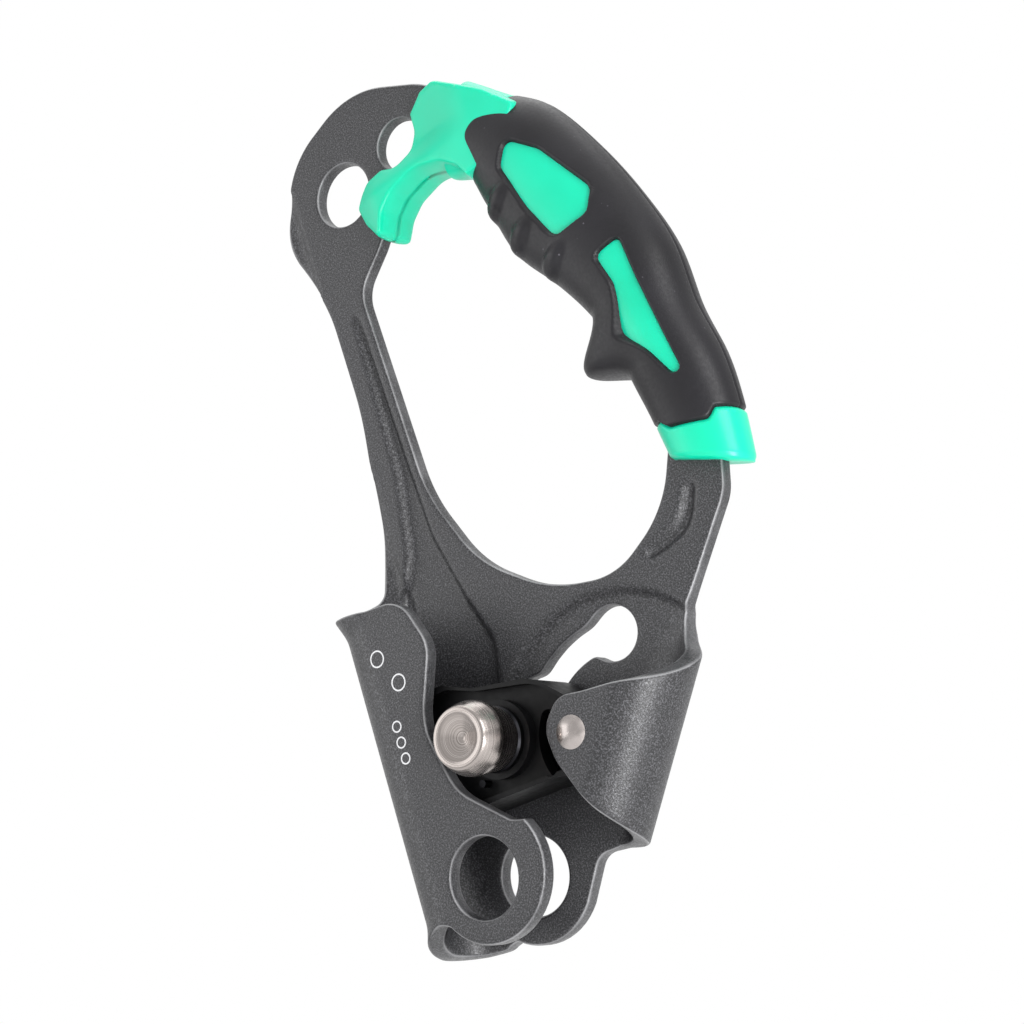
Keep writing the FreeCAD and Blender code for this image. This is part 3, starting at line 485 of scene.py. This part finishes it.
def rolled_profile(depth, radius, count=4):
    """Edge profile from the back face round to the front face, with rounded corners of a radius."""
    turns = np.linspace(0, math.pi / 2, count + 1)
    back = [(radius * (1 - math.sin(t)), depth - radius * (1 - math.cos(t))) for t in turns]
    front = [(inset, -height) for inset, height in back[::-1]]
    return back + front


# %% Outline of the blank
def strap_spot(along, out, radius=0.0):
    """Blank corner given along the strap's fold and out from it."""
    spot = STRAP_FOOT + ALONG * along + OUTWARD * out
    return (spot[0], spot[1], radius)


def flap_spot(x, z, radius=0.0):
    """Blank corner given where the flap ends up once folded."""
    return (2 * FOLD_X - FOLD_ARC - x, z, radius)


EYE_RADIUS = mounts["lower_eye"]["dims"]["r_mm"]
LOBE_RADIUS = 14.2
flap_eye = np.array(flap_spot(0, 0)[:2])
blank = arc_corners(np.array(flap_spot(1.0, 0.6)[:2]), LOBE_RADIUS, 150, 330, 28)
blank += [(-37.0, -5.2, 3), (-31, -7.6, 6), (-25, -10.2, 5), (-17, -11.6, 5), (-12.5, -12, 4)]
blank += arc_corners((0, 0), LOBE_RADIUS, -128, -42, 14)
blank += [(16.6, -1.2, 4), strap_spot(-4.4, 2.5, 3), strap_spot(0.6, 15, 14), strap_spot(4.3, 25, 20),
          strap_spot(10.5, 35.6, 10), strap_spot(15.5, 40.2, 6), strap_spot(22.6, 39.2, 5),
          strap_spot(25.2, 34.0, 14), strap_spot(30, 26.0, 12), strap_spot(37.0, 12.5, 6),
          strap_spot(39.5, 5.0, 4)]
blank += [(51.6, 36.0, 10), (69.5, 56, 10), (73.6, 70, 20), (73.0, 104, 30), (65.5, 134, 30), (51, 156, 25),
          (31, 176, 20), (12, 185.5, 22), (-8.5, 177.5, 20), (-17.2, 160, 16), (-10.3, 139, 40),
          (-9.8, 112, 80), (-13.6, 84, 50), (-17.6, 69.5, 4), (-24, 67.2, 8), (-33, 64.4, 8), (-40, 62.6, 4)]
blank += [flap_spot(-1.2, 61.5, 8), flap_spot(2.9, 49.5, 8), flap_spot(-4.2, 34, 14),
          flap_spot(-0.5, 18.5, 12), flap_spot(10.2, 8.6, 3)]
window = [(1.3, 87, 40), (9, 67.5, 30), (24, 54.5, 38), (40, 50.5, 16), (55, 58.5, 24), (62.5, 74, 25),
          (62, 98, 40), (53, 122, 60), (40.5, 148, 8), (27, 158, 10), (17.5, 156, 8), (8, 145.5, 10),
          (-0.3, 138.5, 8)]


# %% Keyhole slot
SLOT_ARM = 21.0
SLOT_WIDE = 5.9
SLOT_NECK = 3.2


def keyhole():
    """Slot round the pivot: wide behind the closed knob, narrow for the stem, round at the open end.
    A few passes of averaging round its inner corners."""
    def at(angle, radius):
        turn = math.radians(angle)
        return (PIVOT[0] + radius * math.cos(turn), PIVOT[1] + radius * math.sin(turn))

    def arc(angles, radius):
        return [(*at(angle, radius), 0) for angle in angles]

    corners = arc_corners(at(164, SLOT_ARM), SLOT_WIDE, 74, 254, 14)
    corners += arc((158, 150, 142, 136), SLOT_ARM - SLOT_WIDE)
    corners += arc((131, 122, 113, 104, 95), SLOT_ARM - SLOT_NECK)
    corners += arc_corners(at(77, SLOT_ARM), SLOT_WIDE, -155, 116, 22)
    corners += arc((92, 101, 110, 119, 128), SLOT_ARM + SLOT_NECK)
    corners += arc((133, 141, 149, 157), SLOT_ARM + SLOT_WIDE)
    loop = even_steps(np.array([corner[:2] for corner in corners]), 0.5)
    for _ in range(10):
        loop = 0.5 * loop + 0.25 * (np.roll(loop, 1, axis=0) + np.roll(loop, -1, axis=0))
    return loop


print("blank has", len(blank), "corners; the keyhole slot has", len(keyhole()), "points")

# %% Press and bend
dish = rounded([(-16, 26, 3), (-16, 64, 8), (-8.6, 76, 10), (-5.4, 95, 30), (-4.6, 134, 0.9),
                (-2.6, 134, 0.9), (-1.2, 100, 30), (-0.2, 78, 20), (3.6, 62, 14), (7.6, 50, 8),
                (4.5, 36, 10), (-4, 26, 8)], 1.0)
groove = rounded([(64.6, 61.5, 1.4), (61.2, 62.0, 1.4), (57.6, 55.4, 10), (46.4, 52.2, 1.4),
                  (48.6, 49.4, 1.4), (60.5, 51.5, 10)], 1.0)


def press(x, z):
    """How far the press moves the sheet towards its back: dish, limb groove and the band round the slot."""
    spots = np.stack([x, z], -1)
    depth = np.zeros(len(x))
    for outline, amount, width in ((dish, 1.7, 1.5), (groove, 1.5, 1.5)):
        near = (spots > outline.min(0) - 3).all(1) & (spots < outline.max(0) + 3).all(1)
        depth[near] += amount * smoothstep(0.0, width, distance_inside(spots[near], outline))
    arm = np.hypot(x - PIVOT[0], z - PIVOT[1])
    turn = np.degrees(np.arctan2(z - PIVOT[1], x - PIVOT[0]))
    band = smoothstep(30.6, 28.2, arm) * smoothstep(168, 150, turn) * smoothstep(20, 48, turn)
    lift = 1.3 * band * (x > FOLD_X)
    return np.maximum(depth, lift)


def bend(points):
    """Folds the sheet: left of the channel's axis and beyond the strap's axis it goes round an arc of
    mid radius 9 mm, then lies flat again in front."""
    x, z, depth, _ = points.T
    depth = depth + press(x, z)
    flat = np.stack([x, HALF + depth, z], -1)
    arc_at = np.clip((FOLD_X - x) / FOLD_R, 0, math.pi)
    flare = (2.4 * smoothstep(58.5, 68, z) + 1.8 * smoothstep(-3, -11, z)) * np.sin(arc_at) ** 0.5
    radius = FOLD_R + depth + flare
    past = np.maximum(FOLD_X - x - FOLD_ARC, 0)
    left = np.stack([FOLD_X - radius * np.sin(arc_at) + past, FOLD_Y + radius * np.cos(arc_at), z], -1)
    out = (x - STRAP_FOOT[0]) * OUTWARD[0] + (z - STRAP_FOOT[1]) * OUTWARD[1]
    along = (x - STRAP_FOOT[0]) * ALONG[0] + (z - STRAP_FOOT[1]) * ALONG[1]
    turn = np.clip(out / FOLD_R, 0, math.pi)
    reach = (FOLD_R + depth) * np.sin(turn) - np.maximum(out - FOLD_ARC, 0)
    spot = STRAP_FOOT + along[:, None] * ALONG + reach[:, None] * OUTWARD
    right = np.stack([spot[:, 0], FOLD_Y + (FOLD_R + depth) * np.cos(turn), spot[:, 1]], -1)
    share = (smoothstep(52, 43, along) * (out > 0) * (x > 0))[:, None]
    bent = share * right + (1 - share) * flat
    return np.where((x < FOLD_X)[:, None], left, bent)


# %% Make the frame plate
holes = [rounded(window), ring((0, 0), EYE_RADIUS), ring(flap_eye, EYE_RADIUS), keyhole()]
for name in ("head_eye", "head_small_eye"):
    place = mounts[name]["pos_m"]
    holes.append(ring((place[0] / MM, place[2] / MM), mounts[name]["dims"]["r_mm"]))
sheet_points, sheet_faces = blank_mesh(rounded(blank), holes, rolled_profile(HALF, 0.75), 0.95)
edge_wear = np.exp(-((np.abs(sheet_points[:, 3]) - 0.2) / 0.22) ** 2)
plate = new_piece("pressed_frame", bend(sheet_points), sheet_faces, coating, "frame",
                  {"wear": edge_wear})
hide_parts("frame_plate", "rope_channel", "cam_strap")

# %% [markdown]
# ## The handle
# Shell and rubber share one family of sections. Each station gives the middle of the handle, which
# way its width points, how far it reaches out and in, and its half depth. A smooth curve through the
# stations gives any section, and an oval power law rounds it.

# %% Handle sections
STATIONS = np.array([
    # x, z, heading, outward, inward, half depth
    [37.0, 160.2, 57.0, 11.0, 11.2, 6.8],
    [43.6, 154.2, 42.0, 10.3, 10.2, 8.0],
    [49.2, 146.0, 32.0, 12.8, 13.0, 9.2],
    [54.5, 131.5, 25.0, 14.8, 14.6, 9.8],
    [60.7, 118.7, 20.0, 13.4, 13.2, 9.8],
    [64.9, 107.3, 14.0, 12.0, 11.8, 9.6],
    [67.0, 95.3, 4.0, 9.9, 10.0, 9.2],
    [68.4, 84.3, -3.0, 10.3, 10.2, 8.6],
    [68.9, 75.0, -9.0, 9.9, 9.6, 7.6],
    [68.8, 63.2, -23.0, 9.1, 9.0, 6.6],
])


def along_stations(at):
    """Smooth (Catmull-Rom) blend of the station rows; at runs from 0 to the last row."""
    rows = np.concatenate([2 * STATIONS[:1] - STATIONS[1:2], STATIONS, 2 * STATIONS[-1:] - STATIONS[-2:-1]])
    first = np.clip(np.floor(at).astype(int), 0, len(STATIONS) - 2)
    t = (at - first)[:, None]
    a, b, c, d = (rows[first + k] for k in range(4))
    square = (2 * a - 5 * b + 4 * c - d) * t ** 2
    cube = (3 * b - 3 * c + d - a) * t ** 3
    return 0.5 * (2 * b + (c - a) * t + square + cube)


def handle_grid(at, turns):
    """Points and outward normals of the handle's bare shape; at is a grid of station places with one
    column for each turn."""
    row = along_stations(at.ravel()).reshape(*at.shape, 6)
    heading = np.radians(row[..., 2])
    cosine = np.cos(turns)[None]
    sine = np.sin(turns)[None]
    reach = np.where(cosine > 0, row[..., 3], row[..., 4]) * np.sign(cosine) * np.abs(cosine) ** 0.88
    depth = row[..., 5] * np.sign(sine) * np.abs(sine) ** 0.88
    points = np.stack([row[..., 0] + reach * np.cos(heading), HALF + depth,
                       row[..., 1] + reach * np.sin(heading)], -1)
    by_row = np.gradient(points, axis=0)
    by_turn = np.roll(points, -1, axis=1) - np.roll(points, 1, axis=1)
    normal = np.cross(by_turn, by_row)
    normal /= np.linalg.norm(normal, axis=2)[..., None] + 1e-12
    side = np.sign((normal * (points - points.mean(1, keepdims=True))).sum())
    return points, normal * side


def closed_grid(points, name, material, marks=None):
    """Closes a grid of rings with a fan at each end and makes the piece."""
    rows, columns = points.shape[:2]
    ends = [points[0].mean(0), points[-1].mean(0)]
    flat = np.concatenate([points.reshape(-1, 3), ends])
    faces = grid_faces(rows, columns)
    j = np.arange(columns)
    k = (j + 1) % columns
    first = rows * columns
    faces += np.stack([np.full(columns, first), k, j], -1).tolist()
    last = (rows - 1) * columns
    faces += np.stack([np.full(columns, first + 1), last + j, last + k], -1).tolist()
    piece = new_piece(name, flat, faces, material, "frame", marks)
    turn_outwards(piece)
    return piece


def turn_outwards(piece):
    """Flips every face when the closed shell's signed volume says that it is inside out."""
    mesh = piece.data
    spots = np.empty(len(mesh.vertices) * 3)
    mesh.vertices.foreach_get("co", spots)
    spots = spots.reshape(-1, 3)
    mesh.calc_loop_triangles()
    corners = np.empty(len(mesh.loop_triangles) * 3, dtype=np.int32)
    mesh.loop_triangles.foreach_get("vertices", corners)
    a, b, c = spots[corners.reshape(-1, 3)].transpose(1, 0, 2)
    if (np.cross(a, b) * c).sum() < 0:
        mesh.flip_normals()


TURNS = np.linspace(0, 2 * np.pi, 208, endpoint=False)
TAB = smoothstep(0.72, 0.93, np.abs(np.sin(TURNS)))
RUBBER_START = 1.22 - 0.62 * TAB + 0.12 * (np.cos(TURNS) < 0) * (1 - TAB)
RUBBER_END = 8.22 + 0.18 * TAB

# %% [markdown]
# ## The green shell
# The hard shell runs under the rubber, so it is drawn a millimetre inside the grip, and comes out at
# full size in the foot collar. Its saddle spreads over the head between the two round holes.

# %% Shell and foot collar
at = np.linspace(0.0, 9.0, 260)[:, None] * np.ones_like(TURNS)[None]
body_points, body_normals = handle_grid(at, TURNS)
under = smoothstep(RUBBER_START - 0.02, RUBBER_START + 0.06, at)
under = under * smoothstep(RUBBER_END + 0.05, RUBBER_END - 0.05, at)
foot_edge = smoothstep(8.9, 9.0, at)
shell_points = body_points - body_normals * (0.15 + 1.0 * under + 0.5 * foot_edge)[..., None]
shell = closed_grid(shell_points, "shell_core", green)
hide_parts("handle_core_front", "handle_core_rear")

# %% Saddle over the head
saddle_outline = rounded([
    (56.0, 154.6, 2), (49, 162.5, 6), (37, 172.2, 3), (32, 172.3, 2), (26.8, 169.3, 1.5),
    (26.6, 164.6, 3), (24.2, 161.2, 3), (20.1, 159.6, 4), (15.6, 161.7, 2), (11, 160.8, 3),
    (6.2, 155.6, 2), (7.4, 150.6, 3), (11.1, 144.2, 1.6), (14.4, 150.4, 4), (18, 153.2, 5),
    (25, 155.2, 8), (32.2, 152.8, 6), (36.0, 149.4, 4), (38.0, 145.2, 1.5), (47, 146, 4)], 0.5)
saddle_flat, saddle_faces = blank_mesh(saddle_outline, [], rolled_profile(1.0, 1.0, 8), 0.8)


def saddle_depth(x, z):
    """Half depth of the saddle: low beside the two holes, deeper along its window edge and as deep as
    the handle where they meet."""
    to_grip = smoothstep(24.0, 44.0, x)
    rim = smoothstep(162.5, 155.5, z + 0.06 * np.abs(x - 24)) * smoothstep(5, 14, x)
    return 4.0 + 2.3 * rim * (1 - to_grip) + 3.8 * to_grip


x, z, depth, _ = saddle_flat.T
saddle_points = np.stack([x, HALF + depth * saddle_depth(x, z), z], -1)
saddle = new_piece("saddle_collar", saddle_points, saddle_faces, green, "frame")
turn_outwards(saddle)

# %% [markdown]
# ## The rubber sleeve
# The rubber is the same family of sections with a relief on it: two windows where it dips below the
# shell, three finger ridges, a hook under the fingers and a parting line along the outer edge.

# %% Relief of the rubber
WINDOWS = [
    rounded([(50.6, 147.6, 2), (57.6, 141.6, 4), (66.4, 127.4, 3), (64.0, 121.8, 2), (54.8, 120.6, 3),
             (50.6, 130.5, 4), (47.2, 142.5, 2)], 0.7),
    rounded([(68.9, 113.6, 1), (69.6, 104, 8), (72.2, 81.2, 1), (70.0, 81.2, 1), (63.4, 94.6, 4),
             (64.3, 105, 5), (62.4, 112.2, 1.5)], 0.7),
]


def window_dip(points):
    """1 inside the two windows, front and back, with a soft edge 0.8 mm wide."""
    spots = points[..., [0, 2]].reshape(-1, 2)
    dip = np.zeros(len(spots))
    for outline in WINDOWS:
        near = (spots > outline.min(0) - 2).all(1) & (spots < outline.max(0) + 2).all(1)
        dip[near] = np.maximum(dip[near], smoothstep(-0.4, 0.4, distance_inside(spots[near], outline)))
    return dip.reshape(points.shape[:2])


def finger_ridge(points, x, z):
    """Oval ridge about a point of the side view, 9 mm across the handle and 4 mm along it."""
    across, along = math.radians(22), math.radians(112)
    dx = points[..., 0] - x
    dz = points[..., 2] - z
    u = (dx * math.cos(across) + dz * math.sin(across)) / 4.6
    v = (dx * math.cos(along) + dz * math.sin(along)) / 2.0
    return np.exp(-(u ** 2 + v ** 2) ** 2)


at = RUBBER_START + (RUBBER_END - RUBBER_START) * np.linspace(0, 1, 330)[:, None]
grip_points, grip_normals = handle_grid(at, TURNS)
inner_side = np.clip(-np.cos(TURNS), 0, 1)[None] ** 1.2
hook_lift = 9.4 * smoothstep(5.15, 6.1, at) * smoothstep(6.85, 6.15, at) * inner_side
ridges = sum(finger_ridge(grip_points, *spot) for spot in ((43.1, 135.8), (45.8, 125.6), (51.5, 116.4)))
side_share = smoothstep(0.15, 0.6, np.abs(np.sin(TURNS)))[None]
seam = np.exp(-((grip_points[..., 1] - HALF) / 0.28) ** 2) * (np.cos(TURNS)[None] > 0)
edge_round = 1.0 * (1 - smoothstep(RUBBER_START, RUBBER_START + 0.09, at)
                    * smoothstep(RUBBER_END, RUBBER_END - 0.09, at)) ** 2
relief = 1.2 * ridges * side_share - 0.3 * seam - edge_round - 2.0 * window_dip(grip_points)
row = along_stations(at.ravel()).reshape(*at.shape, 6)
heading = np.radians(row[..., 2])
inward_pull = -np.stack([np.cos(heading), np.zeros_like(heading), np.sin(heading)], -1)
rubber_points = grip_points + grip_normals * relief[..., None] + inward_pull * hook_lift[..., None]
sleeve = closed_grid(rubber_points, "rubber_sleeve", rubber)
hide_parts("grip_front", "grip_rear")

# %% [markdown]
# ## The pull knob
# A knob like this is turned from bar: a shallow cone in the face, a chamfer, a wide band for the
# fingers and a slim waist. Its outline is a short list of radius and place, carried once round.

# %% Knob
def lathe(profile, centre, name, material, body, count=128):
    """Carries a (radius, y) outline round an axis along Y; its two ends lie on the axis and close as fans."""
    radius, place = np.array(profile).T
    turns = np.linspace(0, 2 * np.pi, count, endpoint=False)
    body_rows = np.stack([centre[0] + radius[1:-1, None] * np.cos(turns), place[1:-1, None] * np.ones(count),
                          centre[1] + radius[1:-1, None] * np.sin(turns)], -1)
    poles = [[centre[0], place[0], centre[1]], [centre[0], place[-1], centre[1]]]
    rows = len(body_rows)
    faces = grid_faces(rows, count)
    j = np.arange(count)
    k = (j + 1) % count
    faces += np.stack([np.full(count, rows * count), k, j], -1).tolist()
    last = (rows - 1) * count
    faces += np.stack([np.full(count, rows * count + 1), last + j, last + k], -1).tolist()
    piece = new_piece(name, np.concatenate([body_rows.reshape(-1, 3), poles]), faces, material, body)
    turn_outwards(piece)
    return piece


face_y = knob_low[1] / MM
foot_y = knob_high[1] / MM
knob_profile = [(0, face_y + 1.9), (0.5, face_y + 1.7), (4.55, face_y + 0.15), (4.75, face_y), (6.0, face_y),
                (6.2, face_y + 0.08), (6.45, face_y + 0.4), (7.3, face_y + 2.6), (7.62, face_y + 3.7),
                (7.7, face_y + 4.4), (7.7, face_y + 5.4), (7.6, face_y + 5.9), (7.1, face_y + 7.6),
                (6.6, foot_y - 0.5), (6.45, foot_y - 0.1), (6.3, foot_y), (2.3, foot_y), (0, foot_y)]
knob = lathe(knob_profile, KNOB, "turned_knob", steel_turned, "plunger")
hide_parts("knob")

# %% [markdown]
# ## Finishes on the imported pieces
# The cam, rivet, washers, springs and screws already have their true shapes, so they keep their
# meshes and take the finishes made above.

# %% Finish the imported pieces
finishes = {
    "cam": cam_black, "cam_leg_pin": steel_dark, "pivot_rivet": steel_rivet, "pivot_spacer": steel_plain,
    "front_thrust_washer": steel_plain, "rear_thrust_washer": steel_plain, "rivet_tail_washer": steel_plain,
    "knob_guide_bush": steel_dark, "knob_stem": steel_turned, "spring_seat_washer": steel_plain,
    "cam_torsion_spring": wire_steel, "knob_spring": wire_steel, "handle_screws": steel_rivet,
}
for name, material in finishes.items():
    node = frame["nodes"][name]
    node.data.materials.clear()
    node.data.materials.append(material)
print("finished", len(finishes), "packed pieces")

# %% [markdown]
# ## Studio
# The tool hangs over a plain pale floor. Large soft lights stand left, right and above, a small one
# shines up from below to streak the rolled strap, and the camera looks up from the right.

# %% Floor, light and camera
low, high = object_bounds()
bpy.ops.mesh.primitive_plane_add(size=6, location=(0, 0, low[2] - 0.16))
floor = bpy.context.object
floor.name = "floor"
paint, tree, shader, where = new_material("pale studio paint")
speck = add_node(tree, "ShaderNodeTexNoise", Vector=(where, "Object"), Scale=8.0)
tone = ramp(tree, (speck, "Fac"), [(0.3, linear("F4F4F4")), (0.7, linear("F8F8F8"))])
join(tree, tone, "Color", shader, "Base Color")
shader.inputs["Roughness"].default_value = 0.9
floor.data.materials.append(paint)

bpy.context.scene.view_settings.view_transform = "Standard"
world = bpy.data.worlds.new("studio")
bpy.context.scene.world = world
world.use_nodes = True
world.node_tree.nodes["Background"].inputs["Color"].default_value = (1, 1, 1, 1)
world.node_tree.nodes["Background"].inputs["Strength"].default_value = 1.0
target = Vector((20.81 * MM, 0, 73.60 * MM))


def soft_light(name, place, size, power):
    """Square area light that faces the middle of the tool."""
    lamp = bpy.data.lights.new(name, "AREA")
    lamp.size = size
    lamp.energy = power
    holder = bpy.data.objects.new(name, lamp)
    holder.location = place
    holder.rotation_euler = (target - Vector(place)).to_track_quat("-Z", "Y").to_euler()
    bpy.context.scene.collection.objects.link(holder)


soft_light("right_softbox", (0.75, -0.35, 0.25), 0.5, 4.5)
soft_light("left_softbox", (-0.6, -0.5, 0.35), 0.6, 2.0)
soft_light("top_softbox", (0.1, 0.1, 0.9), 0.8, 4.0)
soft_light("low_softbox", (0.27, -0.20, -0.13), 0.12, 1.2)

DISTANCE = 0.4726
LENS = 78.19
azimuth, elevation, roll = (math.radians(a) for a in (31.4, -18.9, -17.2))
back = Vector((math.sin(azimuth) * math.cos(elevation), -math.cos(azimuth) * math.cos(elevation),
               math.sin(elevation)))
right = Vector((math.cos(azimuth), math.sin(azimuth), 0))
up = back.cross(right)
across = right * math.cos(roll) + up * math.sin(roll)
upward = up * math.cos(roll) - right * math.sin(roll)
camera_data = bpy.data.cameras.new("camera")
camera_data.lens = LENS
camera_data.sensor_width = 36
camera = bpy.data.objects.new("camera", camera_data)
camera.matrix_world = Matrix((
    (across.x, upward.x, back.x, target.x + back.x * DISTANCE),
    (across.y, upward.y, back.y, target.y + back.y * DISTANCE),
    (across.z, upward.z, back.z, target.z + back.z * DISTANCE),
    (0, 0, 0, 1)))
bpy.context.scene.collection.objects.link(camera)
bpy.context.scene.camera = camera
